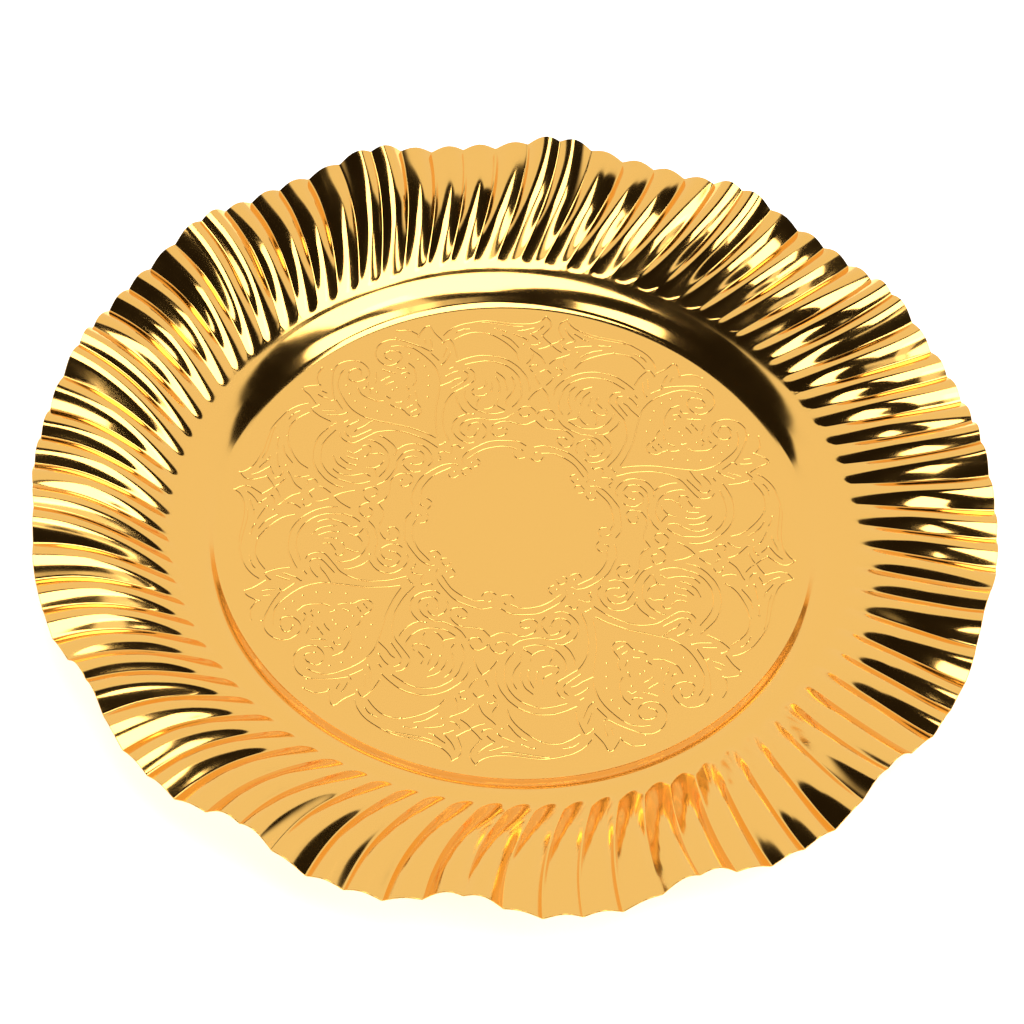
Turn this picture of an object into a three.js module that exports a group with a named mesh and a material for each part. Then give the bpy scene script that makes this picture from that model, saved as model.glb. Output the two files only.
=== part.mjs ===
// Round serving tray pressed from one sheet of brass. A flat floor turns up through a tight foot
// into a steep wall, rolls over a round shoulder and runs out into a fluted rim, whose edge rises
// and falls in broad lobes. Each zone between two bend lines is a mesh of its own.
// Millimetres, +Z up. The origin is on the table, under the middle of the floor.
import * as THREE from 'three';

// Driving dimensions. Radii and heights are of the upper face of the sheet.
const sheet = 0.6; // thickness
const floorRadius = 101; // end of the flat floor
const footRadius = 5.3; // hollow bend from the floor into the wall
const wallAngle = 41.5; // slope of the wall, degrees
const wallRun = 1.3; // straight part of the wall, measured flat
const shoulderRadius = 21; // round bend over the top of the wall
const shoulderEndAngle = 14; // slope where the rim begins, degrees
const rimEdgeAngle = 8.5; // slope of the rim at its edge, degrees
const steepShare = 0.12; // share of the rim's width where it is steepest
const flatShare = 0.95; // share of the rim's width where its slope stops easing
const outerRadius = 164.2; // mean radius of the edge
const rimHeight = 25.8; // mean height of the edge above the table

// The rim's lobes: how its edge rises and falls round the tray.
const lobeCount = 14;
const lobePhase = 16.5; // angle of the first crest from +X, degrees
const lobeRise = 4; // main wave, half its height
const lobePinch = 0.31; // share of a second wave, which narrows the crests
const lobeLift = 0.5; // how far the wave's middle stands over the mean edge
const lobeGrowth = 1.6; // power by which the wave dies out towards the shoulder
const edgeDrawIn = 1.15; // how far the edge draws inwards as it rises

// The flutes: round fingers with a crease between them, swept round at their inner ends.
const flutesPerLobe = 6;
const fluteStart = 1.45; // from the shoulder to the tips of the fingers
const fluteTipDepth = 0.7; // crease to crown just past the tips
const fluteFullDepth = 2.7; // crease to crown from the middle of the rim to the edge
const fluteTipLength = 3.5; // length over which a tip rises
const fluteGrowLength = 22; // from the tips to the full depth
const sweepAngle = 6; // turn of a flute from the edge to the shoulder, degrees
const sweepPower = 2.2; // how much of that turn is near the shoulder

// How finely the curves are divided.
const footSteps = 4;
const shoulderSteps = 5;
const rimSteps = 6;
const fluteSteps = 4;
const rimStepPower = 1.5;

const radians = THREE.MathUtils.degToRad;
const fluteCount = lobeCount * flutesPerLobe;
const wall = radians(wallAngle);
const shoulderEnd = radians(shoulderEndAngle);
const startSlope = Math.tan(shoulderEnd);
const edgeSlope = Math.tan(radians(rimEdgeAngle));

const footTop = new THREE.Vector2(
  floorRadius + footRadius * Math.sin(wall),
  sheet + footRadius * (1 - Math.cos(wall)),
);
const wallTop = new THREE.Vector2(
  footTop.x + wallRun,
  footTop.y + wallRun * Math.tan(wall),
);
const shoulderTop = new THREE.Vector2(
  wallTop.x + shoulderRadius * (Math.sin(wall) - Math.sin(shoulderEnd)),
  wallTop.y + shoulderRadius * (Math.cos(shoulderEnd) - Math.cos(wall)),
);
const rimWidth = outerRadius - shoulderTop.x;
const steepAt = rimWidth * steepShare;
const flatFrom = rimWidth * flatShare;

// The steepest slope is the one that brings the edge to its height.
const risesWithoutIt =
  (startSlope * steepAt + edgeSlope * (flatFrom - steepAt)) / 2 + edgeSlope * (rimWidth - flatFrom);
const steepSlope = (2 * (rimHeight - shoulderTop.y - risesWithoutIt)) / flatFrom;

// A point of the upper face, with the slope of the sheet there.
function facePoint(radius, height, slope) {
  return { radius, height, slope };
}

// The foot's bend and the straight wall above it.
function wallFace() {
  const face = [];
  for (let i = 0; i <= footSteps; i += 1) {
    const slope = (wall * i) / footSteps;
    const radius = floorRadius + footRadius * Math.sin(slope);
    const height = sheet + footRadius * (1 - Math.cos(slope));
    face.push(facePoint(radius, height, slope));
  }
  face.push(facePoint(wallTop.x, wallTop.y, wall));
  return face;
}

// The round bend from the wall to the rim.
function shoulderFace() {
  const face = [];
  for (let i = 0; i <= shoulderSteps; i += 1) {
    const slope = THREE.MathUtils.lerp(wall, shoulderEnd, i / shoulderSteps);
    const radius = wallTop.x + shoulderRadius * (Math.sin(wall) - Math.sin(slope));
    const height = wallTop.y + shoulderRadius * (Math.cos(slope) - Math.cos(wall));
    face.push(facePoint(radius, height, slope));
  }
  return face;
}

// The lower face lies one sheet thickness below, square to the slope.
function lowerPoint(point) {
  return new THREE.Vector2(
    point.radius + sheet * Math.sin(point.slope),
    point.height - sheet * Math.cos(point.slope),
  );
}

// How far round the flutes have swept at this radius.
function sweep(radius) {
  const inward = (outerRadius - radius) / rimWidth;
  return radians(sweepAngle) * Math.max(inward, 0) ** sweepPower;
}

// Depth of the flutes from crease to crown at this radius.
function fluteDepth(radius) {
  const past = radius - shoulderTop.x - fluteStart;
  const risen = THREE.MathUtils.smoothstep(past, 0, fluteTipLength);
  const grown = THREE.MathUtils.smoothstep(past, 0, fluteGrowLength);
  return fluteTipDepth * risen + (fluteFullDepth - fluteTipDepth) * grown;
}

// What a bend adds in height by a distance along it, as its slope eases from one to another.
function bendRise(from, to, length, along) {
  const part = THREE.MathUtils.clamp(along / length, 0, 1);
  return length * (from * part + (to - from) * (part ** 3 - part ** 4 / 2));
}

// The rim between crease and crown, before lobes and flutes: it leaves the shoulder at its slope,
// climbs steeply and then eases off towards the edge.
function rimDish(radius) {
  const out = radius - shoulderTop.x;
  const climb = bendRise(startSlope, steepSlope, steepAt, out);
  const brow = bendRise(steepSlope, edgeSlope, flatFrom - steepAt, out - steepAt);
  const flat = edgeSlope * Math.max(out - flatFrom, 0);
  const climbed = THREE.MathUtils.smoothstep(out, 0, steepAt);
  const eased = THREE.MathUtils.smoothstep(out, steepAt, flatFrom);
  const steepness = THREE.MathUtils.lerp(startSlope, steepSlope, climbed);
  const slope = Math.atan(THREE.MathUtils.lerp(steepness, edgeSlope, eased));
  return facePoint(radius, shoulderTop.y + climb + brow + flat, slope);
}

// The rim's upper face, at an angle measured from the middle of its lobe.
function rimFace(radius, angle) {
  const point = rimDish(radius);
  const growth = ((radius - shoulderTop.x) / rimWidth) ** lobeGrowth;
  const turn = lobeCount * angle;
  const wave = Math.cos(turn) + lobePinch * Math.cos(2 * turn);
  const flute = Math.abs(Math.sin((fluteCount * angle) / 2)) - 0.5;
  point.radius -= edgeDrawIn * wave * growth;
  point.height += (lobeRise * wave + lobeLift) * growth + fluteDepth(radius) * flute;
  return point;
}

function brass(roughness) {
  return new THREE.MeshStandardMaterial({ color: 0xe3a94c, roughness, metalness: 1 });
}

// A closed outline turned round the tray's axis, with its corners in line with the creases.
function turned(name, outline, roughness) {
  const start = radians(lobePhase) + sweep(shoulderTop.x) + Math.PI / 2;
  const geometry = new THREE.LatheGeometry(outline, fluteCount, start);
  geometry.rotateX(Math.PI / 2);
  const mesh = new THREE.Mesh(geometry, brass(roughness));
  mesh.name = name;
  return mesh;
}

// A ring of the sheet, from its upper face.
function ring(name, face, roughness) {
  const upper = face.map((point) => new THREE.Vector2(point.radius, point.height)).reverse();
  const lower = face.map(lowerPoint);
  return turned(name, [...lower, ...upper, lower[0]], roughness);
}

function floorPanel() {
  const outline = [
    new THREE.Vector2(0, 0),
    new THREE.Vector2(floorRadius, 0),
    new THREE.Vector2(floorRadius, sheet),
    new THREE.Vector2(0, sheet),
  ];
  return turned('floor_panel', outline, 0.16);
}

// A box splits its two ends along opposite diagonals. This turns those of the first end, so that
// neighbouring lobes meet triangle for triangle.
function matchEnds(geometry) {
  const corners = geometry.getIndex();
  const [end] = geometry.groups;
  for (let i = end.start; i < end.start + end.count; i += 6) {
    const [a, b, d] = [corners.getX(i), corners.getX(i + 1), corners.getX(i + 2)];
    const c = corners.getX(i + 4);
    [a, b, c, a, c, d].forEach((corner, step) => corners.setX(i + step, corner));
  }
}

// One lobe of the rim: a slab bent into place, six flutes wide.
function rimLobe(index) {
  const lobeAngle = (2 * Math.PI) / lobeCount;
  const middle = radians(lobePhase) + index * lobeAngle;
  const geometry = new THREE.BoxGeometry(1, 1, 1, flutesPerLobe * fluteSteps, rimSteps, 1);
  matchEnds(geometry);
  const place = geometry.getAttribute('position');
  for (let i = 0; i < place.count; i += 1) {
    const angle = -place.getX(i) * lobeAngle;
    const out = (place.getY(i) + 0.5) ** rimStepPower;
    const radius = shoulderTop.x + rimWidth * out;
    const point = rimFace(radius, angle);
    const upper = place.getZ(i) > 0;
    const spot = upper ? new THREE.Vector2(point.radius, point.height) : lowerPoint(point);
    const bearing = middle + angle + sweep(radius);
    place.setXYZ(i, spot.x * Math.cos(bearing), spot.x * Math.sin(bearing), spot.y);
  }
  geometry.computeVertexNormals();
  const mesh = new THREE.Mesh(geometry, brass(0.1));
  mesh.name = `rim_lobe_${String(index + 1).padStart(2, '0')}`;
  return mesh;
}

const tray = new THREE.Group();
tray.add(floorPanel());
tray.add(ring('well_wall', wallFace(), 0.1));
tray.add(ring('shoulder', shoulderFace(), 0.1));
for (let index = 0; index < lobeCount; index += 1) {
  tray.add(rimLobe(index));
}

export default tray;
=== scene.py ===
"""A round pressed brass serving tray: engraved floor, well, shoulder and ruffled, fluted rim."""
import math

import bpy
import numpy as np
from bpy.props import FloatProperty, FloatVectorProperty, IntProperty, PointerProperty
from bpy.types import Operator, Panel, PropertyGroup
from mathutils import Matrix, Vector
from mathutils.geometry import delaunay_2d_cdt


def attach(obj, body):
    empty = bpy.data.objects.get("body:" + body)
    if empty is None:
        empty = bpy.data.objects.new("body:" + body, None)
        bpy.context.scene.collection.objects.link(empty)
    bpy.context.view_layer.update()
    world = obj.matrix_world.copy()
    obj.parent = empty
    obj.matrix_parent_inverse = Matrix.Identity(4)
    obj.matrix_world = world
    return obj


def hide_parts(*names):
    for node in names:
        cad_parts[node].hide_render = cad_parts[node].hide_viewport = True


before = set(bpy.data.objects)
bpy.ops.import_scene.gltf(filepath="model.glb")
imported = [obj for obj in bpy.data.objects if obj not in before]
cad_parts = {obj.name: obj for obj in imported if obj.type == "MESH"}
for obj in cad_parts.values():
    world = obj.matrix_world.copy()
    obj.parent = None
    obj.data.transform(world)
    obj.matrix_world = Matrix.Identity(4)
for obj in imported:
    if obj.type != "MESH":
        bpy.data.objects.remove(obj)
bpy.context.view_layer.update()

bl_info = {
    "name": "Pressed Brass Tray",
    "version": (1, 0, 0),
    "blender": (4, 5, 0),
    "location": "3D View > Sidebar > Tray",
    "description": "Builds a round pressed tray with an engraved floor and a fluted, ruffled rim",
    "category": "Add Mesh",
}

MM = 0.001
ROUND = 2 * math.pi

# How finely each zone is meshed.
COLUMNS_PER_FLUTE = 16
COLUMN_CROWDING = 1.4          # above 1 crowds the columns towards each crease
RIM_ROWS = 30
RIM_ROW_POWER = 1.5            # above 1 crowds the rows towards the tips of the flutes
FOOT_ROWS = 6
SHOULDER_ROWS = 12
NORMAL_STEP = 1e-5             # metres, and radians, between the points that give a slope
GROOVE_SPACING = 0.5 * MM
AXIS_SPACING = 0.4 * MM
CLOSEST_POINTS = 0.12 * MM
OCTANTS = 8
LIP_REACH = 1.03               # a point this little past a groove's lip still counts as on it
UNCUT = 0.003 * MM
PUNCH_DEPTH = 1.2              # of a punch mark, as a share of a groove's
DOT_SIDES = 8
CURVE_STEPS = 12               # between two points of an engraved line
BLOCK = 500                    # points worked on at once, to save memory
BORDER = 0.6 * CLOSEST_POINTS  # kept free along the straight sides of an eighth
SAME_POINT = 0.001 * MM        # points of neighbouring eighths this close are one
ON_THE_EDGE = 0.01 * MM
EDGE_ROLL = 0.3                # of the rim's edge, as a share of the sheet's thickness

# The surface of the metal.
HAZE_SIZE = 14 * MM
HAZE_CLEAREST, HAZE_DULLEST = 0.8, 1.3   # times the mean roughness
RIPPLE_LENGTH = 9 * MM
RIPPLE_HEIGHT = 0.06 * MM
RIPPLE_STRENGTH = 0.35


def linear(hex_colour):
    """The linear RGB of an sRGB hex colour."""
    channels = [int(hex_colour[i:i + 2], 16) / 255 for i in (1, 3, 5)]
    return [c / 12.92 if c <= 0.04045 else ((c + 0.055) / 1.055) ** 2.4 for c in channels]


# ---------------------------------------------------------------- sizes, finishes and stage

class TrayShape(PropertyGroup):
    """Sizes of the pressed sheet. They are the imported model's, but for the rim's height, which is
    0.21 mm less so that the finer crests stay inside it."""
    sheet: FloatProperty(
        name="Sheet", description="Thickness of the pressed sheet", default=0.6 * MM, unit="LENGTH")
    floor_radius: FloatProperty(
        name="Floor Radius", description="Flat floor inside the foot curve",
        default=101 * MM, unit="LENGTH")
    foot_radius: FloatProperty(
        name="Foot Radius", description="Curve that turns the floor up into the wall",
        default=5.3 * MM, unit="LENGTH")
    wall_angle: FloatProperty(
        name="Wall Angle", description="Slope of the wall, the steepest part of the well",
        default=math.radians(41.5), unit="ROTATION")
    wall_run: FloatProperty(
        name="Wall Run", description="Width of the straight wall seen from above",
        default=1.3 * MM, unit="LENGTH")
    shoulder_radius: FloatProperty(
        name="Shoulder Radius", description="Curve that turns the wall out into the rim",
        default=21 * MM, unit="LENGTH")
    shoulder_end: FloatProperty(
        name="Shoulder End", description="Slope left where the shoulder meets the rim",
        default=math.radians(14), unit="ROTATION")
    rim_edge_slope: FloatProperty(
        name="Edge Slope", description="Slope of the rim at its edge",
        default=math.radians(8.5), unit="ROTATION")
    steep_share: FloatProperty(
        name="Steepest At", description="Share of the rim's width where it is steepest",
        default=0.12)
    flat_share: FloatProperty(
        name="Eased By", description="Share of the rim's width where its slope stops easing",
        default=0.95)
    outer_radius: FloatProperty(
        name="Outer Radius", description="Middle of the ruffled edge",
        default=164.2 * MM, unit="LENGTH")
    rim_height: FloatProperty(
        name="Rim Height", description="Height of the rim's edge before the ruffle",
        default=25.59 * MM, unit="LENGTH")
    lobes: IntProperty(name="Lobes", description="Waves round the edge", default=14, min=3)
    lobe_phase: FloatProperty(
        name="Lobe Phase", description="Bearing of the first lobe's crest",
        default=math.radians(16.5), unit="ROTATION")
    lobe_rise: FloatProperty(
        name="Lobe Rise", description="Half the height of the ruffle", default=4 * MM,
        unit="LENGTH")
    lobe_pinch: FloatProperty(
        name="Lobe Pinch", description="How far the crests are narrower than the lows",
        default=0.31)
    lobe_lift: FloatProperty(
        name="Lobe Lift", description="Lift of the whole edge by the ruffle",
        default=0.5 * MM, unit="LENGTH")
    lobe_growth: FloatProperty(
        name="Lobe Growth", description="How late the ruffle grows across the rim", default=1.6)
    edge_draw_in: FloatProperty(
        name="Edge Draw-in", description="How far a crest pulls the edge inwards",
        default=1.15 * MM, unit="LENGTH")
    flutes_per_lobe: IntProperty(
        name="Flutes per Lobe", description="Pleats in each lobe", default=6, min=1)
    flute_start: FloatProperty(
        name="Flute Start", description="Distance from the shoulder to the flute tips",
        default=1.45 * MM, unit="LENGTH")
    flute_tip_depth: FloatProperty(
        name="Flute Tip Depth", description="Depth that a flute reaches just past its tip",
        default=0.7 * MM, unit="LENGTH")
    flute_full_depth: FloatProperty(
        name="Flute Depth", description="Crease to crown from the middle of the rim to the edge",
        default=2.7 * MM, unit="LENGTH")
    flute_tip_length: FloatProperty(
        name="Flute Tip Length", description="Run over which a flute's tip rises",
        default=3.5 * MM, unit="LENGTH")
    flute_grow_length: FloatProperty(
        name="Flute Growth", description="From the tips to the full depth",
        default=22 * MM, unit="LENGTH")
    flute_nose: FloatProperty(
        name="Flute Nose", description="How far a crease starts behind its crown",
        default=1.2 * MM, unit="LENGTH")
    crease: FloatProperty(
        name="Crease", description="Softness of the crease between two flutes", default=0.05)
    sweep: FloatProperty(
        name="Sweep", description="Turn of the flutes between edge and shoulder",
        default=math.radians(6), unit="ROTATION")
    sweep_power: FloatProperty(
        name="Sweep Power", description="How much of the turn is at the inner end", default=2.2)
    groove_width: FloatProperty(
        name="Groove Width", description="Width of an engraved line",
        default=0.5 * MM, unit="LENGTH")
    groove_depth: FloatProperty(
        name="Groove Depth", description="Depth of an engraved line",
        default=0.115 * MM, unit="LENGTH")
    dot_radius: FloatProperty(
        name="Dot Radius", description="Radius of a round punch mark",
        default=0.5 * MM, unit="LENGTH")


class TrayFinish(PropertyGroup):
    """Looks of the metal and of the stage."""
    brass: FloatVectorProperty(
        name="Brass", description="Colour that the polished metal gives a white reflection",
        subtype="COLOR", default=linear("#FDC66A"), min=0, max=1)
    roughness: FloatProperty(
        name="Roughness", description="Blur left by the polishing mop", default=0.095,
        subtype="FACTOR", min=0, max=1)
    ground: FloatVectorProperty(
        name="Ground", description="Colour of the floor under the tray", subtype="COLOR",
        default=linear("#F6F6F4"), min=0, max=1)
    pale_wall: FloatVectorProperty(
        name="Pale Wall", description="Colour of the studio near the horizon", subtype="COLOR",
        default=linear("#F5F4F2"), min=0, max=1)
    dark_wall: FloatVectorProperty(
        name="Dark Wall", description="Colour of the unlit studio above", subtype="COLOR",
        default=linear("#201C18"), min=0, max=1)


class TrayView(PropertyGroup):
    """Where the camera stands."""
    elevation: FloatProperty(
        name="Elevation", description="Height of the camera above the horizon",
        default=math.radians(52.6), unit="ROTATION")
    bearing: FloatProperty(
        name="Bearing", description="Bearing of the camera from the tray",
        default=math.radians(-83.95), unit="ROTATION")
    roll: FloatProperty(
        name="Roll", description="Tilt of the camera about its line of sight",
        default=0.075, unit="ROTATION")
    distance: FloatProperty(
        name="Distance", description="Distance from the camera to the tray's centre",
        default=846 * MM, unit="LENGTH")
    slide_right: FloatProperty(
        name="Slide Right", description="Camera's sideways step from the line to the centre",
        default=-0.54 * MM, unit="LENGTH")
    slide_up: FloatProperty(
        name="Slide Up", description="Camera's upward step from the line to the centre",
        default=4.64 * MM, unit="LENGTH")
    lens: FloatProperty(
        name="Lens", description="Focal length of the camera, in millimetres",
        default=84.93)


# ---------------------------------------------------------------- shared helpers

def add_node(tree, kind, settings=None, values=None, links=None):
    """Adds a node with its settings, the values of unlinked inputs and links from outputs."""
    node = tree.nodes.new(kind)
    for key, value in (settings or {}).items():
        setattr(node, key, value)
    for key, value in (values or {}).items():
        node.inputs[key].default_value = value
    for key, output in (links or {}).items():
        tree.links.new(output, node.inputs[key])
    return node


def polished_brass():
    """Mirror-polished pressed brass: clear warm reflections, softened a little by the mop."""
    name = "mirror-polished pressed brass"
    if name in bpy.data.materials:
        return bpy.data.materials[name]
    finish = bpy.context.scene.tray_finish
    material = bpy.data.materials.new(name)
    material.use_nodes = True
    tree = material.node_tree
    tree.nodes.clear()
    place = add_node(tree, "ShaderNodeTexCoord")
    # Buffing haze: patches where the mop left the metal a little duller.
    haze = add_node(tree, "ShaderNodeTexNoise", values={"Scale": 1 / HAZE_SIZE, "Detail": 3},
                    links={"Vector": place.outputs["Object"]})
    rough = add_node(tree, "ShaderNodeMapRange",
                     values={"From Min": 0.3, "From Max": 0.7,
                             "To Min": finish.roughness * HAZE_CLEAREST,
                             "To Max": finish.roughness * HAZE_DULLEST},
                     links={"Value": haze.outputs["Fac"]})
    # Press ripple: the sheet keeps waves too shallow to see but for reflections.
    ripple = add_node(tree, "ShaderNodeTexNoise", values={"Scale": 1 / RIPPLE_LENGTH, "Detail": 1},
                      links={"Vector": place.outputs["Object"]})
    bump = add_node(tree, "ShaderNodeBump",
                    values={"Strength": RIPPLE_STRENGTH, "Distance": RIPPLE_HEIGHT},
                    links={"Height": ripple.outputs["Fac"]})
    shader = add_node(tree, "ShaderNodeBsdfPrincipled",
                      values={"Base Color": (*finish.brass, 1), "Metallic": 1.0},
                      links={"Roughness": rough.outputs["Result"],
                             "Normal": bump.outputs["Normal"]})
    add_node(tree, "ShaderNodeOutputMaterial", links={"Surface": shader.outputs["BSDF"]})
    return material


def add_piece(name, mesh, nodes):
    """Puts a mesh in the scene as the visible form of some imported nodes."""
    piece = bpy.data.objects.new(name, mesh)
    bpy.context.scene.collection.objects.link(piece)
    mesh.materials.append(polished_brass())
    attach(piece, "root")
    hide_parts(*nodes)
    return piece


def unit(vectors):
    """The same vectors at length 1."""
    return vectors / np.linalg.norm(vectors, axis=-1, keepdims=True)


def sheet_ring(name, sections):
    """A closed ring: sections of points and normals run round its cross-section, each one a
    (rows, columns, 3) pair of grids; each section starts where the last one ends."""
    columns = sections[0][0].shape[1]
    points, quads, corner_normals = [], [], []
    for grid, _ in sections:
        points.append(grid[:-1].reshape(-1, 3))
    points = np.concatenate(points)
    rows = len(points) // columns
    start = 0
    for grid, grid_normals in sections:
        inner = np.arange(start, start + grid.shape[0] - 1)[:, None]
        outer = (inner + 1) % rows
        here = np.arange(columns)[None, :]
        following = (here + 1) % columns
        quads.append(np.stack([inner * columns + here, outer * columns + here,
                               outer * columns + following, inner * columns + following],
                              axis=-1).reshape(-1, 4))
        turned = np.roll(grid_normals, -1, axis=1)
        corner_normals.append(np.stack([grid_normals[:-1], grid_normals[1:], turned[1:],
                                        turned[:-1]], axis=2).reshape(-1, 3))
        start += grid.shape[0] - 1
    mesh = bpy.data.meshes.new(name)
    mesh.from_pydata(points.tolist(), [], np.concatenate(quads).tolist())
    mesh.shade_smooth()
    mesh.normals_split_custom_set(np.concatenate(corner_normals).tolist())
    return mesh


def between(first, last, count):
    """Evenly spaced grids of rows from one row of points to another, ends included."""
    steps = np.linspace(0, 1, count + 1)[:, None, None]
    return first[None] * (1 - steps) + last[None] * steps


# ---------------------------------------------------------------- form of the pressed sheet

def smooth_step(part):
    """A share of a way from 0 to 1, eased at both ends."""
    return part ** 2 * (3 - 2 * part)


def bend_rise(start, end, length, part):
    """The height gained over a part of a bend whose slope eases from one value to another."""
    return length * (start * part + (end - start) * (part ** 3 - part ** 4 / 2))


class Profile:
    """Where the zones of the tray's cross-section meet, as (radius, height) of the top face."""

    def __init__(self, shape):
        self.shape = shape
        wall, end = shape.wall_angle, shape.shoulder_end
        self.foot_top = (shape.floor_radius + shape.foot_radius * math.sin(wall),
                         shape.sheet + shape.foot_radius * (1 - math.cos(wall)))
        self.wall_top = (self.foot_top[0] + shape.wall_run,
                         self.foot_top[1] + shape.wall_run * math.tan(wall))
        self.shoulder_top = (
            self.wall_top[0] + shape.shoulder_radius * (math.sin(wall) - math.sin(end)),
            self.wall_top[1] + shape.shoulder_radius * (math.cos(end) - math.cos(wall)))
        self.rim_width = shape.outer_radius - self.shoulder_top[0]

    def well(self):
        """(radius, height, slope) of the top face from the floor's edge to the shoulder's end."""
        shape = self.shape
        rows = []
        for slope in np.linspace(0, shape.wall_angle, FOOT_ROWS + 1):
            rows.append((shape.floor_radius + shape.foot_radius * math.sin(slope),
                         shape.sheet + shape.foot_radius * (1 - math.cos(slope)), slope))
        for slope in np.linspace(shape.wall_angle, shape.shoulder_end, SHOULDER_ROWS + 1):
            rows.append((self.wall_top[0] + shape.shoulder_radius
                         * (math.sin(shape.wall_angle) - math.sin(slope)),
                         self.wall_top[1] + shape.shoulder_radius
                         * (math.cos(slope) - math.cos(shape.wall_angle)), slope))
        return np.array(rows)

    def dish(self, out):
        """(height, slope) of the rim without lobes and flutes, out from the shoulder's end. It
        climbs ever more steeply and then eases off towards the edge."""
        shape = self.shape
        start, edge = math.tan(shape.shoulder_end), math.tan(shape.rim_edge_slope)
        steep_at = self.rim_width * shape.steep_share
        flat_from = self.rim_width * shape.flat_share
        other_rises = ((start * steep_at + edge * (flat_from - steep_at)) / 2
                       + edge * (self.rim_width - flat_from))
        steepest = 2 * (shape.rim_height - self.shoulder_top[1] - other_rises) / flat_from
        climbed = np.clip(out / steep_at, 0, 1)
        eased = np.clip((out - steep_at) / (flat_from - steep_at), 0, 1)
        height = (self.shoulder_top[1] + np.clip(out, None, 0) * start
                  + bend_rise(start, steepest, steep_at, climbed)
                  + bend_rise(steepest, edge, flat_from - steep_at, eased)
                  + edge * np.clip(out - flat_from, 0, None))
        slope = (start + (steepest - start) * smooth_step(climbed)
                 + (edge - steepest) * smooth_step(eased))
        return height, np.arctan(slope)

    def rim(self, out, angle, under=False):
        """Points of the rim's top face, or of its underside, at a distance from the shoulder's
        end and an angle from the first lobe's crest that follows the swept flutes."""
        shape = self.shape
        out, angle = np.broadcast_arrays(out, angle)
        height, slope = self.dish(out)
        growth = (np.clip(out, 0, None) / self.rim_width) ** shape.lobe_growth
        wave = np.cos(shape.lobes * angle) + shape.lobe_pinch * np.cos(2 * shape.lobes * angle)
        half_flutes = shape.lobes * shape.flutes_per_lobe / 2
        crown = np.sqrt(np.sin(half_flutes * angle) ** 2 + shape.crease ** 2)
        past = np.clip(out - shape.flute_start - shape.flute_nose * (1 - crown) ** 2, 0, None)
        risen = smooth_step(np.clip(past / shape.flute_tip_length, 0, 1))
        grown = smooth_step(np.clip(past / shape.flute_grow_length, 0, 1))
        depth = (shape.flute_tip_depth * risen
                 + (shape.flute_full_depth - shape.flute_tip_depth) * grown)
        height = height + (shape.lobe_rise * wave + shape.lobe_lift) * growth
        height = height + depth * (crown - 0.5)
        radius = self.shoulder_top[0] + out - shape.edge_draw_in * wave * growth
        if under:
            radius = radius + shape.sheet * np.sin(slope)
            height = height - shape.sheet * np.cos(slope)
        inward = np.clip(1 - out / self.rim_width, 0, None)
        bearing = shape.lobe_phase + angle + shape.sweep * inward ** shape.sweep_power
        return np.stack([radius * np.cos(bearing), radius * np.sin(bearing), height], axis=-1)

    def rim_normals(self, out, angle, under=False):
        """Normals of the rim's top face, or of its underside, pointing out of the metal."""
        outward = (self.rim(out + NORMAL_STEP, angle, under)
                   - self.rim(out - NORMAL_STEP, angle, under))
        round_the_rim = (self.rim(out, angle + NORMAL_STEP, under)
                         - self.rim(out, angle - NORMAL_STEP, under))
        return unit(np.cross(outward, round_the_rim)) * (-1 if under else 1)


def column_count(shape):
    """How many columns of points there are round the tray."""
    return shape.lobes * shape.flutes_per_lobe * COLUMNS_PER_FLUTE


# ---------------------------------------------------------------- engraved floor

# Engraved lines of one eighth of the floor, in millimetres from its centre, between the +Y axis
# and the diagonal. Each is a smooth curve through its points; mirrors make the other eighths.
CARTOUCHE = [
    [(1.5, 36.1), (5.1, 37.5), (9.9, 36.9), (14.5, 35.5), (18.1, 32.7), (21.5, 29.1),
     (22.8, 26), (22.5, 23.9)],
    [(4.6, 33.8), (8.1, 34.5), (12.6, 33.3), (16.7, 30.9), (19.9, 27.3), (20.9, 26.1)],
    [(3, 34.1), (2.2, 33.6), (2.1, 32.5)],
    [(5.6, 32.2), (5, 30.8), (3.9, 29.9), (2.4, 30), (1, 30.7)],
    [(17.8, 26.7), (16.7, 25.9), (16.3, 24.8), (17, 23.6), (17.9, 22.8)],
    [(18.6, 20.3), (19, 21.6), (20.3, 22.1), (21.3, 21.3)],
    [(23.2, 30.9), (24.1, 30.3), (25.9, 31.5), (27, 31.1), (27.5, 30), (27.2, 27.3)],
    [(30, 32), (30.9, 31.1), (31.8, 30.2)],
]
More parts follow.
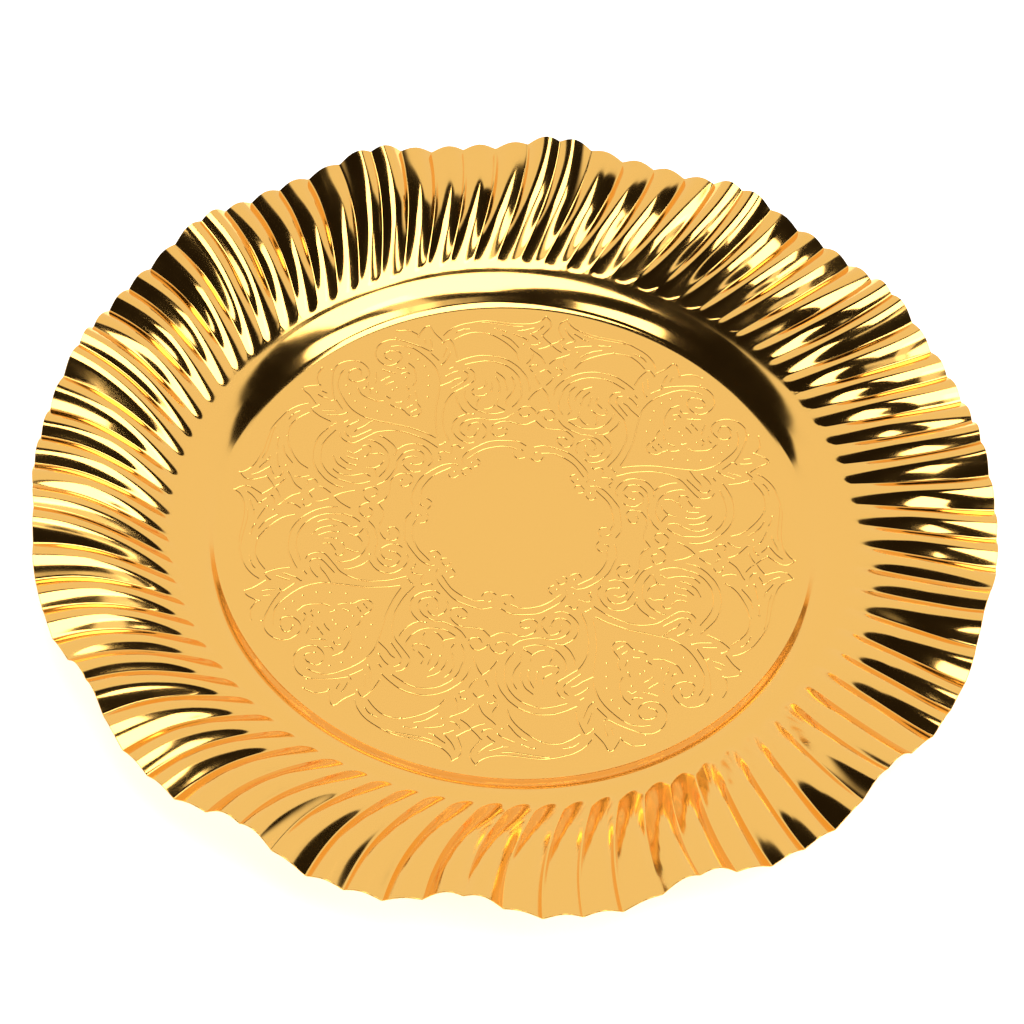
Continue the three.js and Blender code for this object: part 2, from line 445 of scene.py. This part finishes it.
SCROLLS = [
    [(12.6, 41.8), (11.4, 42.4), (9.9, 42.5), (9.1, 41.4), (9.6, 39.8), (11.5, 38.5),
     (13.1, 38.4), (14.7, 39.5), (15, 41.1), (14.7, 43.1), (13.5, 44.4), (11.7, 45.6),
     (9.7, 46), (7.2, 45.7), (4.9, 45.6), (2.9, 46), (1.3, 47.2), (0, 48.3)],
    [(8.1, 50.2), (9.9, 48.2), (11.7, 47), (14.5, 45.9), (17.2, 45.3), (19.5, 45.5),
     (22.2, 44.7), (24.2, 43.6), (25.8, 41.6), (26.3, 39.5), (25.6, 37.5), (24, 36.4),
     (22, 35.9), (20.6, 36.8), (19.8, 38.4), (19.6, 40.2)],
    [(18.8, 43.2), (17, 41.3), (16.4, 39.8), (16.4, 38), (17.2, 36.4)],
    [(19.9, 43.5), (21, 43.3), (22.4, 42.3), (23.3, 40.7), (23, 38.9)],
    [(20, 34.1), (21.8, 33.2), (23.9, 33.5), (25.9, 34.5), (27.7, 36.1), (28.8, 38),
     (29.1, 40.2), (28.6, 42.5), (27.5, 44.3), (26.1, 45.6), (24.8, 46.6), (22.5, 46.8)],
    [(0, 51.4), (1, 53), (2.4, 54.1), (3.3, 54.4), (4.7, 54.3), (5.8, 53.4), (6.7, 52),
     (6.7, 50.9), (5.8, 49.8), (4.5, 49.4), (3.3, 49.8), (2.4, 51.1)],
    [(0, 64.1), (1.3, 62.7), (2.4, 61.1), (3.3, 59.3), (4, 57.5)],
    [(3.3, 70), (2.9, 68.4), (2, 66.8), (1.3, 65.7)],
    [(0.4, 73), (2, 71.6)],
    [(3.7, 74.5), (5.1, 74.5), (6.2, 73.1), (5.8, 72), (4.7, 71.1)],
]
ROUNDEL = [
    [(4.5, 61.8), (4.7, 64.1), (5.5, 66.4), (7, 68.9), (8.8, 70.9), (10.8, 72.7),
     (14.9, 74.9), (19.9, 75.8), (25.4, 74.9), (29.7, 72.6), (33.1, 70.1)],
    [(9.2, 53), (8.1, 54.8), (7.4, 56.6), (7, 59.1), (7.3, 61.4), (8.1, 65.2), (10.4, 68.9),
     (14.7, 72), (20.6, 73.1), (24.9, 72), (29.7, 69.6)],
    [(24.8, 46.6), (27.2, 48.5), (29.5, 52), (30.1, 54)],
    [(11.7, 50.2), (16, 48.4), (21.7, 48.9), (25.4, 51.7), (27.2, 55.1), (27.5, 57.2)],
    [(12.1, 67.3), (10.8, 65.5), (10.1, 63.2), (10.6, 59.5), (12, 55.9), (11.3, 53.4)],
    [(17.9, 68.3), (14.7, 66.1), (12.9, 62.7), (12.6, 60.5)],
    [(17.6, 65.8), (15.6, 62.7), (15.1, 59.3)],
    [(18.5, 63.4), (18.1, 61.4), (18, 59.3)],
    [(20.8, 63.6), (20.4, 62), (20.8, 60.7), (22.9, 58.8)],
    [(24.3, 58.8), (25, 57.5), (24.5, 56.1), (23.3, 55.7), (20.8, 56.1), (19.5, 57)],
    [(21.5, 55.7), (21.7, 54.1), (22.2, 52.5), (21.8, 50.7)],
    [(15.1, 55.5), (15.2, 53), (13.5, 51.8), (11.7, 51)],
    [(15.2, 53), (16.3, 51.6), (17.6, 50.5), (19, 50)],
    [(28.5, 68), (27, 67.5), (25.8, 66.3), (25, 64.5), (25, 62.6), (26, 61), (28.8, 58.1),
     (31.7, 54.9), (33.4, 50.1), (33.6, 46.6), (33.2, 43.2), (31.6, 37.7), (28.9, 32.5)],
    [(29.5, 66.3), (28.1, 65.5), (27.6, 64), (28.1, 62.2), (30.8, 59), (32.4, 57.2)],
    [(30.1, 62.9), (31.7, 62), (33.5, 60.1), (36.9, 57.4)],
    [(31.7, 66), (33.3, 64.9), (35.5, 62.5)],
    [(33.7, 67.5), (34.9, 66.3)],
]
SHELL = [
    [(33.2, 33.9), (34.8, 38.6), (36.2, 45.5), (36.6, 52.4), (37, 58), (37.6, 61.3),
     (40.1, 66), (44.2, 69.9), (50, 73.4), (54.7, 73.7), (58, 72.7)],
    [(39.5, 69.5), (41.7, 71.3), (43.4, 72.8), (42.6, 74.2)],
    [(43.9, 73.4), (48.1, 74.9), (54, 76.2), (57, 76.3), (60, 75.3), (62.3, 72.7),
     (63.2, 69.3), (62.3, 66.3), (60, 64), (57.3, 63.3), (54.7, 64.7), (53.3, 67.3),
     (53.7, 69.7), (55.3, 70.8), (58, 70.3), (59.7, 68.5), (59, 66.7), (56.7, 66.1)],
    [(50.4, 66.1), (47.6, 63.8), (46.2, 59.7), (46, 57.7), (46.5, 55.6)],
    [(48.8, 55.2), (47.9, 53.6)],
    [(45.2, 53.1), (44.5, 51.8), (44.1, 50.2)],
    [(44, 48.8), (43.3, 47.5), (42.2, 46.3), (41.5, 45), (41.4, 43.6), (42.1, 42.1)],
    [(46.7, 51.1), (47.2, 49)],
    [(44.9, 46.6), (45.8, 45.8)],
    [(43.1, 44.9), (44, 44)],
    [(53.8, 56.3), (55.2, 55.2)],
    [(55.6, 58.4), (57, 57)],
    [(54, 60.3), (56, 60.4), (59, 61)],
    [(50.8, 64), (51.4, 63.1), (52.6, 62.7), (54, 63)],
    [(48.8, 61), (50.4, 61.5), (51.7, 60.4)],
]
ACANTHUS = [
    [(33.1, 72.4), (34.7, 76.7), (37.2, 80.3), (38.5, 79.6), (39.7, 78)],
    [(40.1, 79.4), (43.5, 82.4), (45.8, 85.3), (47.4, 84.6), (48.8, 81), (49, 79.6)],
    [(49, 79.6), (49.7, 80.5), (53.3, 81.7), (57.3, 80.7)],
    [(44.6, 79.6), (43.8, 77.8), (43.3, 75.5)],
    [(46.5, 78.7), (45.8, 76.5)],
    [(36, 74.2), (36.4, 72.1), (37, 69.5), (38.1, 67.6)],
    [(37.6, 76.2), (38.1, 73.7), (38.4, 71.5)],
]
FLAME = [
    [(4, 99), (2.2, 97.2), (1.6, 95.8), (1.6, 94.2), (2.2, 92.6), (4, 89.2)],
    [(4, 89.2), (2.6, 87.8), (1.3, 86.7), (0, 85.8)],
    [(4, 99), (5.4, 96.7), (8.8, 94.5), (14.9, 93.2), (25.1, 92.5), (32, 89.9), (35.8, 87.6),
     (38.5, 84.6), (39.9, 81.9)],
    [(11.7, 92.5), (14.9, 91.9), (18.5, 91.8), (25.1, 91.7), (27, 91.3)],
    [(3.9, 94.5), (4.9, 92.8), (6, 91.5), (8.3, 89.2), (7, 88.3), (5.4, 87.1)],
    [(3.8, 86.2), (4.3, 85.3), (5.6, 84.4), (7.2, 84.1)],
    [(0.4, 85.1), (2, 83.8), (4.2, 82.6)],
    [(7.4, 92.6), (8.8, 91.9), (11.5, 90.4), (13.3, 90)],
    [(9, 85.9), (10.4, 86.7), (12.6, 87.4), (14.9, 88)],
    [(17.6, 88.5), (19.5, 89), (21.8, 89.1)],
    [(10.4, 75.8), (12.6, 79.6), (17.2, 83.3), (23.4, 86.1), (28.8, 85.9), (32.6, 83.8),
     (35.7, 80.8)],
    [(11.7, 81.7), (15.4, 85.1), (19, 86.7)],
    [(31, 87.2), (33.1, 86.5), (34.7, 85.5), (35.8, 84.2)],
    [(0.8, 76), (2.9, 79), (6.5, 81.5), (7.6, 82.4)],
    [(6, 79.6), (6, 77.8), (6.5, 76.2), (7.4, 74.6)],
]
# Round punch marks: the bolder ends of lines, and the rows of pearls on the shell.
PUNCH_MARKS = [
    (19.2, 24.5), (25.1, 25.1), (31.8, 30.2), (11.4, 42.4), (19.6, 40.2), (22.5, 46.8),
    (3.7, 74.5), (15.1, 59.3), (18, 59.3), (19.5, 57), (15.2, 53), (35.5, 62.5), (58, 70.3),
    (56.7, 66.1), (50.7, 70.3), (47, 68.3), (44, 65.6), (41.8, 61.3), (41, 56.7), (40.3, 51.3),
    (47.9, 53.6), (44, 48.8), (47.2, 49), (56, 60.4), (49.8, 58.8), (52, 53.4), (39.7, 78),
    (45.8, 85.3), (49, 79.6), (57.3, 80.7), (57, 77), (38.1, 67.6), (4, 99), (4, 89.2),
    (8.3, 89.2), (4.3, 85.3), (11.5, 90.4), (9, 85.9), (17.6, 88.5), (21.8, 89.1), (10.1, 83.6),
    (23.4, 86.1), (33.1, 86.5),
]


def smooth_line(points, spacing):
    """Points evenly spaced along the smooth curve through some points, in metres."""
    points = np.array(points, dtype=float) * MM
    before = 2 * points[0] - points[1]
    after = 2 * points[-1] - points[-2]
    chain = np.vstack([before, points, after])
    part = np.linspace(0, 1, CURVE_STEPS, endpoint=False)[:, None]
    curve = []
    for a, b, c, d in zip(chain, chain[1:], chain[2:], chain[3:]):
        curve.append(0.5 * (2 * b + (c - a) * part + (2 * a - 5 * b + 4 * c - d) * part ** 2
                            + (3 * b - a - 3 * c + d) * part ** 3))
    curve = np.vstack([*curve, points[-1:]])
    along = np.concatenate([[0], np.cumsum(np.linalg.norm(np.diff(curve, axis=0), axis=1))])
    count = max(2, round(along[-1] / spacing) + 1)
    stops = np.linspace(0, along[-1], count)
    return np.stack([np.interp(stops, along, curve[:, i]) for i in (0, 1)], axis=1)


def fold(points):
    """The same points mirrored into the eighth between the +Y axis and the diagonal."""
    points = np.abs(points)
    return np.stack([points.min(axis=1), points.max(axis=1)], axis=1)


class Engraving:
    """The engraved lines and punch marks of one eighth of the floor."""

    def __init__(self, shape):
        self.width, self.depth, self.dot = (shape.groove_width, shape.groove_depth,
                                            shape.dot_radius)
        lines = [smooth_line(line, GROOVE_SPACING)
                 for line in CARTOUCHE + SCROLLS + ROUNDEL + SHELL + ACANTHUS + FLAME]
        self.starts = np.vstack([fold(line)[:-1] for line in lines])
        self.ends = np.vstack([fold(line)[1:] for line in lines])
        self.marks = fold(np.array(PUNCH_MARKS) * MM)
        self.middles = np.vstack([self.marks] + [fold(line) for line in lines])
        turns = np.arange(DOT_SIDES) * ROUND / DOT_SIDES
        ring = np.stack([np.cos(turns), np.sin(turns)], axis=1)
        rings = [mark + ring * self.dot * share for mark in self.marks for share in (0.5, 1)]
        walls = [self.beside(line, self.width / 4) for line in lines]
        lips = [self.beside(line, self.width / 2) for line in lines]
        self.edges = fold(np.vstack(walls + lips + rings))

    def beside(self, line, away):
        """Points at a distance from a line, on both sides of it and past its ends."""
        along = np.gradient(line, axis=0)
        along /= np.linalg.norm(along, axis=1, keepdims=True)
        across = np.stack([-along[:, 1], along[:, 0]], axis=1) * away
        caps = np.stack([line[0] - along[0] * away, line[-1] + along[-1] * away])
        return np.vstack([line + across, line - across, caps])

    def cut_at(self, points):
        """(depth, slope along x and y) of the engraving at some points. A groove and a punch
        mark both have a round bottom and sharp lips."""
        depth, slope = np.zeros(len(points)), np.zeros((len(points), 2))
        run = self.ends - self.starts
        length = np.maximum((run ** 2).sum(axis=1), 1e-18)
        for first in range(0, len(points), BLOCK):
            block = points[first:first + BLOCK]
            rows = np.arange(len(block))
            gap = block[:, None] - self.starts[None]
            share = np.clip((gap * run[None]).sum(axis=2) / length, 0, 1)
            from_line = gap - share[..., None] * run[None]
            from_mark = block[:, None] - self.marks[None]
            for gaps, reach, deepest in ((from_line, self.width / 2, self.depth),
                                         (from_mark, self.dot, self.depth * PUNCH_DEPTH)):
                away = np.linalg.norm(gaps, axis=2)
                nearest = away.argmin(axis=1)
                gap_to, away = gaps[rows, nearest], away[rows, nearest]
                here = deepest * (1 - np.clip(away / reach, 0, 1) ** 2)
                deeper = np.flatnonzero((here >= depth[first:first + BLOCK])
                                        & (away < reach * LIP_REACH))
                depth[first + deeper] = here[deeper]
                slope[first + deeper] = 2 * deepest / reach ** 2 * gap_to[deeper]
        return depth, slope


def spread_out(points, kept, closest):
    """Those of some points that keep their distance from the kept ones and each other."""
    cells = {}

    def near(point):
        column, row = int(point[0] // closest), int(point[1] // closest)
        return (other for i in (-1, 0, 1) for j in (-1, 0, 1)
                for other in cells.get((column + i, row + j), ()))

    def keep(point):
        cells.setdefault((int(point[0] // closest), int(point[1] // closest)), []).append(point)

    for point in kept:
        keep(point)
    chosen = []
    for point in points:
        if all(math.dist(point, other) >= closest for other in near(point)):
            keep(point)
            chosen.append(point)
    return chosen


def floor_eighth(shape):
    """(points, triangles, corner normals) of one eighth of the floor's top face."""
    radius = shape.floor_radius
    arc_steps = column_count(shape) // OCTANTS
    axis_steps = round(radius / AXIS_SPACING)
    up_the_axis = [(0.0, radius * i / axis_steps) for i in range(axis_steps)]
    arc = [(radius * math.sin(math.pi / 4 * i / arc_steps),
            radius * math.cos(math.pi / 4 * i / arc_steps)) for i in range(arc_steps + 1)]
    half = math.sqrt(0.5)
    down_the_diagonal = [(half * radius * i / axis_steps, half * radius * i / axis_steps)
                         for i in range(axis_steps - 1, 0, -1)]
    outline = up_the_axis + arc + down_the_diagonal
    engraving = Engraving(shape)
    inside = np.vstack([engraving.middles, engraving.edges])
    off_axis = inside[:, 0] > BORDER
    off_diagonal = (inside[:, 1] - inside[:, 0]) * half > BORDER
    in_reach = np.hypot(inside[:, 0], inside[:, 1]) < radius - CLOSEST_POINTS
    inside = spread_out([tuple(p) for p in inside[off_axis & off_diagonal & in_reach]],
                        outline, CLOSEST_POINTS)
    points = [Vector(p) for p in outline + inside]
    edges = [(i, (i + 1) % len(outline)) for i in range(len(outline))]
    loop = [list(range(len(outline)))[::-1]]
    flat, _, faces, *_ = delaunay_2d_cdt(points, edges, loop, 1, 1e-9)
    flat = np.array([tuple(p) for p in flat])
    faces = np.array(faces)
    depth, slope = engraving.cut_at(flat)
    normals = unit(np.column_stack([-slope, np.ones(len(flat))]))[faces]
    middle_depth, _ = engraving.cut_at(flat[faces].mean(axis=1))
    normals[middle_depth < UNCUT] = (0, 0, 1)
    return np.column_stack([flat, shape.sheet - depth]), faces, normals


def mirrored_eighth(vectors, octant):
    """Points or normals of the first eighth, moved to another eighth of the floor."""
    turn = (octant + 1) // 2 * math.pi / 2
    x = -vectors[:, 0] if octant % 2 else vectors[:, 0]
    y = vectors[:, 1]
    return np.column_stack([x * math.cos(turn) - y * math.sin(turn),
                            x * math.sin(turn) + y * math.cos(turn), vectors[:, 2]])


def engraved_floor_mesh(shape):
    """The floor: eight mirrored eighths on top, a plain flat underside and a wall between."""
    eighth, faces, corner_normals = floor_eighth(shape)
    corners = eighth[faces][..., :2]
    first, second = corners[:, 1] - corners[:, 0], corners[:, 2] - corners[:, 0]
    clockwise = first[:, 0] * second[:, 1] - first[:, 1] * second[:, 0] < 0
    faces[clockwise] = faces[clockwise][:, ::-1]
    corner_normals[clockwise] = corner_normals[clockwise][:, ::-1]
    points, triangles, normals = [], [], []
    for octant in range(OCTANTS):
        order = -1 if octant % 2 else 1
        points.append(mirrored_eighth(eighth, octant))
        triangles.append(faces[:, ::order] + octant * len(eighth))
        normals.append(mirrored_eighth(corner_normals[:, ::order].reshape(-1, 3), octant))
    points, triangles, normals = np.vstack(points), np.vstack(triangles), np.vstack(normals)
    keys = {}
    merged = np.array([keys.setdefault(tuple(key), len(keys))
                       for key in np.round(points[:, :2] / SAME_POINT).astype(int)])
    unique = np.zeros((len(keys), 3))
    unique[merged] = points
    columns = column_count(shape)
    on_the_edge = np.flatnonzero(np.hypot(unique[:, 0], unique[:, 1])
                                 > shape.floor_radius - ON_THE_EDGE)
    bearings = np.arctan2(unique[on_the_edge, 1], unique[on_the_edge, 0])
    edge = on_the_edge[np.argsort(bearings)]
    if len(edge) != columns:
        raise RuntimeError(f"the floor's edge has {len(edge)} points and needs {columns}")
    under = np.arange(columns) + len(unique)
    lower = unique[edge] * [1, 1, 0]
    walls = np.column_stack([edge, under, np.roll(under, -1), np.roll(edge, -1)])
    outward = unit(lower)
    next_outward = np.roll(outward, -1, axis=0)
    wall_normals = np.stack([outward, outward, next_outward, next_outward], axis=1)
    mesh = bpy.data.meshes.new("engraved_floor")
    mesh.from_pydata(np.vstack([unique, lower]).tolist(), [],
                     merged[triangles].tolist() + walls.tolist() + [under[::-1].tolist()])
    mesh.shade_smooth()
    mesh.normals_split_custom_set(
        normals.tolist() + wall_normals.reshape(-1, 3).tolist()
        + [(0, 0, -1)] * columns)
    return mesh


# ---------------------------------------------------------------- well, shoulder and rim

def well_and_shoulder_mesh(profile):
    """The smooth ring that rises from the floor and turns out into the rim."""
    shape = profile.shape
    columns = column_count(shape)
    bearing = np.arange(columns) * ROUND / columns
    radial = np.stack([np.cos(bearing), np.sin(bearing), np.zeros(columns)], axis=-1)[None]
    upward = np.array([0, 0, 1.0])
    radius, height, slope = (profile.well()[:, i][:, None, None] for i in range(3))
    normals = upward * np.cos(slope) - radial * np.sin(slope)
    top = radial * radius + upward * height
    under = top - shape.sheet * normals
    inner, outer = between(under[0], top[0], 1), between(top[-1], under[-1], 1)
    return sheet_ring("well_and_shoulder", [
        (top, normals),
        (outer, np.repeat(radial, 2, axis=0)),
        (under[::-1], -normals[::-1]),
        (inner, np.repeat(-radial, 2, axis=0)),
    ])


def fluted_rim_mesh(profile):
    """The ruffled rim, with creases between round-topped flutes and a thin rounded edge."""
    shape = profile.shape
    flutes = shape.lobes * shape.flutes_per_lobe
    step = np.linspace(-1, 1, COLUMNS_PER_FLUTE, endpoint=False)
    one_flute = np.sign(step) * np.abs(step) ** COLUMN_CROWDING * math.pi / flutes
    angle = (np.arange(flutes)[:, None] * ROUND / flutes + one_flute).reshape(1, -1)
    out = profile.rim_width * (np.arange(RIM_ROWS + 1) / RIM_ROWS)[:, None] ** RIM_ROW_POWER
    top, under = profile.rim(out, angle), profile.rim(out, angle, under=True)
    top_normals = profile.rim_normals(out, angle)
    under_normals = profile.rim_normals(out, angle, under=True)
    radial = unit(top[-1:] * [1, 1, 0])
    inner_radial = unit(top[:1] * [1, 1, 0])
    nose = (top[-1:] + under[-1:]) / 2
    edge_roll = EDGE_ROLL * shape.sheet
    top[-1] -= radial[0] * edge_roll
    under[-1] -= radial[0] * edge_roll
    return sheet_ring("fluted_rim", [
        (top, top_normals),
        (np.concatenate([top[-1:], nose]), np.concatenate([top_normals[-1:], radial])),
        (np.concatenate([nose, under[-1:]]), np.concatenate([radial, under_normals[-1:]])),
        (under[::-1], under_normals[::-1]),
        (between(under[0], top[0], 1), np.repeat(-inner_radial, 2, axis=0)),
    ])


# ---------------------------------------------------------------- operators

class TRAY_OT_engraved_floor(Operator):
    """Makes the flat floor with its engraved scrolls, shells and flames"""
    bl_idname = "tray.engraved_floor"
    bl_label = "Engraved Floor"

    def execute(self, context):
        add_piece("engraved_floor", engraved_floor_mesh(context.scene.tray_shape),
                  ["floor_panel"])
        return {"FINISHED"}


class TRAY_OT_well_and_shoulder(Operator):
    """Makes the smooth ring between the floor and the rim"""
    bl_idname = "tray.well_and_shoulder"
    bl_label = "Well and Shoulder"

    def execute(self, context):
        profile = Profile(context.scene.tray_shape)
        add_piece("well_and_shoulder", well_and_shoulder_mesh(profile),
                  ["well_wall", "shoulder"])
        return {"FINISHED"}


class TRAY_OT_fluted_rim(Operator):
    """Makes the ruffled rim with its swept flutes"""
    bl_idname = "tray.fluted_rim"
    bl_label = "Fluted Rim"

    def execute(self, context):
        profile = Profile(context.scene.tray_shape)
        lobes = [f"rim_lobe_{i + 1:02d}" for i in range(context.scene.tray_shape.lobes)]
        add_piece("fluted_rim", fluted_rim_mesh(profile), lobes)
        return {"FINISHED"}


# Soft lights: name, middle (x, y, z) and size (across, up) in metres, brightness, turn about the
# line it shines along, and whether it hangs level instead of facing the tray. Directions are as
# the camera sees them: +X to its right, +Y away from it.
SOFT_LIGHTS = [
    ("overhead softbox", (0.42, -0.10, 2.0), (1.36, 1.36), 4.2, math.radians(40), True),
    ("overhead skirt", (1.02, -0.72, 1.98), (1.3, 0.36), 1.1, math.radians(50), False),
    ("left softbox", (-1.04, -1.43, 1.78), (0.95, 0.85), 4.2, 0, False),
    ("right softbox", (1.72, -0.72, 1.68), (1.15, 0.6), 4.2, 0, False),
    ("front fill", (0.75, -1.62, 1.95), (1.3, 0.22), 1.0, 0, False),
]
# The white backdrop behind the tray, as its edges' distances over its distance from the tray.
BACKDROP_SIDES = 2.67
BACKDROP_TOP = 2.45
BACKDROP_TURN = math.radians(3.5)
PALE_UP_TO = math.radians(14)     # elsewhere the studio is pale up to this height, and dark above
EDGE_BLUR = 0.07
GROUND_SIZE = 12.0
GROUND_DROP = 0.2 * MM     # keeps the ground's face clear of the tray's underside
GROUND_GLOW = 0.7          # the ground is a lit table, which softens the tray's shadow
SENSOR_WIDTH = 36          # millimetres


def add_soft_light(name, middle, size, brightness, spin, hangs_level, turn):
    """A rectangular area light of an even brightness, hidden from the camera itself."""
    light = bpy.data.lights.new(name, "AREA")
    light.shape = "RECTANGLE"
    light.size, light.size_y = size
    light.energy = brightness * size[0] * size[1] * math.pi
    lamp = bpy.data.objects.new(name, light)
    lamp.location = turn @ Vector(middle)
    facing = turn if hangs_level else lamp.location.to_track_quat("Z", "Y").to_matrix()
    lamp.rotation_euler = (facing @ Matrix.Rotation(spin, 3, "Z")).to_euler()
    lamp.visible_camera = False
    bpy.context.scene.collection.objects.link(lamp)
    return lamp


def add_world(finish, bearing):
    """A studio with a white backdrop, pale near the horizon and unlit above."""
    world = bpy.data.worlds.new("studio")
    bpy.context.scene.world = world
    world.use_nodes = True
    tree = world.node_tree
    tree.nodes.clear()
    place = add_node(tree, "ShaderNodeTexCoord")
    turned = add_node(tree, "ShaderNodeVectorRotate", {"rotation_type": "Z_AXIS"},
                      {"Angle": -bearing - BACKDROP_TURN}, {"Vector": place.outputs["Generated"]})
    split = add_node(tree, "ShaderNodeSeparateXYZ", links={"Vector": turned.outputs["Vector"]})
    right, back, up = (split.outputs[axis] for axis in "XYZ")
    left = add_node(tree, "ShaderNodeMath", {"operation": "MULTIPLY"}, {1: -1}, {0: right})
    outside = None
    for reach, direction in ((BACKDROP_SIDES, right), (BACKDROP_SIDES, left.outputs[0]),
                             (BACKDROP_TOP, up)):
        past = add_node(tree, "ShaderNodeMath", {"operation": "MULTIPLY_ADD"}, {1: -reach},
                        {0: back, 2: direction})
        if outside:
            past = add_node(tree, "ShaderNodeMath", {"operation": "MAXIMUM"},
                            links={0: past.outputs[0], 1: outside.outputs[0]})
        outside = past
    above = add_node(tree, "ShaderNodeMath", {"operation": "SUBTRACT"},
                     {1: math.sin(PALE_UP_TO)}, {0: up})
    unlit = add_node(tree, "ShaderNodeMath", {"operation": "MINIMUM"},
                     links={0: above.outputs[0], 1: outside.outputs[0]})
    dark = add_node(tree, "ShaderNodeMapRange", {"interpolation_type": "SMOOTHSTEP"},
                    {"From Min": -EDGE_BLUR, "From Max": EDGE_BLUR},
                    {"Value": unlit.outputs[0]})
    tint = add_node(tree, "ShaderNodeMix", {"data_type": "RGBA"},
                    {"A": (*finish.pale_wall, 1), "B": (*finish.dark_wall, 1)},
                    {"Factor": dark.outputs["Result"]})
    background = add_node(tree, "ShaderNodeBackground", links={"Color": tint.outputs["Result"]})
    add_node(tree, "ShaderNodeOutputWorld", links={"Surface": background.outputs["Background"]})


def add_ground(finish):
    """A plain pale matt floor under the tray."""
    material = bpy.data.materials.new("matt white-painted board")
    # Matt paint: even and pale, with no gloss of its own.
    material.use_nodes = True
    shader = material.node_tree.nodes["Principled BSDF"]
    shader.inputs["Base Color"].default_value = (*finish.ground, 1)
    shader.inputs["Roughness"].default_value = 0.9
    shader.inputs["Specular IOR Level"].default_value = 0.1
    shader.inputs["Emission Color"].default_value = (*finish.ground, 1)
    shader.inputs["Emission Strength"].default_value = GROUND_GLOW
    half = GROUND_SIZE / 2
    mesh = bpy.data.meshes.new("ground")
    mesh.from_pydata([(-half, -half, 0), (half, -half, 0), (half, half, 0), (-half, half, 0)],
                     [], [(0, 1, 2, 3)])
    mesh.materials.append(material)
    ground = bpy.data.objects.new("ground", mesh)
    ground.location.z = -GROUND_DROP
    bpy.context.scene.collection.objects.link(ground)
    return ground


def add_camera(view, target_height):
    """The camera that looks down on the tray."""
    towards = Vector((math.cos(view.elevation) * math.cos(view.bearing),
                      math.cos(view.elevation) * math.sin(view.bearing),
                      math.sin(view.elevation)))
    level_right = Vector((-math.sin(view.bearing), math.cos(view.bearing), 0))
    level_up = towards.cross(level_right)
    right = level_right * math.cos(view.roll) + level_up * math.sin(view.roll)
    up = towards.cross(right)
    camera = bpy.data.objects.new("camera", bpy.data.cameras.new("camera"))
    camera.data.lens = view.lens
    camera.data.sensor_width = SENSOR_WIDTH
    camera.data.clip_start, camera.data.clip_end = 0.01, 50
    place = (towards * view.distance + right * view.slide_right + up * view.slide_up
             + Vector((0, 0, target_height)))
    camera.matrix_world = Matrix.Translation(place) @ Matrix(
        (right, up, towards)).transposed().to_4x4()
    bpy.context.scene.collection.objects.link(camera)
    bpy.context.scene.camera = camera


class TRAY_OT_stage(Operator):
    """Sets up the pale floor, the studio, its soft lights and the camera"""
    bl_idname = "tray.stage"
    bl_label = "Stage"

    def execute(self, context):
        scene = context.scene
        turn = Matrix.Rotation(scene.tray_view.bearing + math.pi / 2, 3, "Z")
        staged = [add_ground(scene.tray_finish)]
        for light in SOFT_LIGHTS:
            staged.append(add_soft_light(*light, turn))
        add_world(scene.tray_finish, scene.tray_view.bearing + math.pi / 2)
        add_camera(scene.tray_view, scene.tray_shape.sheet)
        scene.view_settings.view_transform = "Standard"
        scene.view_settings.look = "None"
        return {"FINISHED"}


class VIEW3D_PT_brass_tray(Panel):
    """Lists the tray's sizes, finishes and pieces"""
    bl_label = "Pressed Brass Tray"
    bl_space_type = "VIEW_3D"
    bl_region_type = "UI"
    bl_category = "Tray"

    def draw(self, context):
        scene = context.scene
        for group in (scene.tray_shape, scene.tray_finish, scene.tray_view):
            box = self.layout.box()
            for key in group.bl_rna.properties.keys():
                if key not in ("rna_type", "name"):
                    box.prop(group, key)
        for operator in OPERATORS:
            self.layout.operator(operator.bl_idname)


GROUPS = {"tray_shape": TrayShape, "tray_finish": TrayFinish, "tray_view": TrayView}
OPERATORS = [TRAY_OT_engraved_floor, TRAY_OT_well_and_shoulder, TRAY_OT_fluted_rim,
             TRAY_OT_stage]


def register():
    for cls in (*GROUPS.values(), *OPERATORS, VIEW3D_PT_brass_tray):
        bpy.utils.register_class(cls)
    for key, group in GROUPS.items():
        setattr(bpy.types.Scene, key, PointerProperty(type=group))


def unregister():
    for key in GROUPS:
        delattr(bpy.types.Scene, key)
    for cls in reversed((*GROUPS.values(), *OPERATORS, VIEW3D_PT_brass_tray)):
        bpy.utils.unregister_class(cls)


def main():
    register()
    bpy.ops.tray.engraved_floor()
    bpy.ops.tray.well_and_shoulder()
    bpy.ops.tray.fluted_rim()
    bpy.ops.tray.stage()


if __name__ == "__main__":
    main()
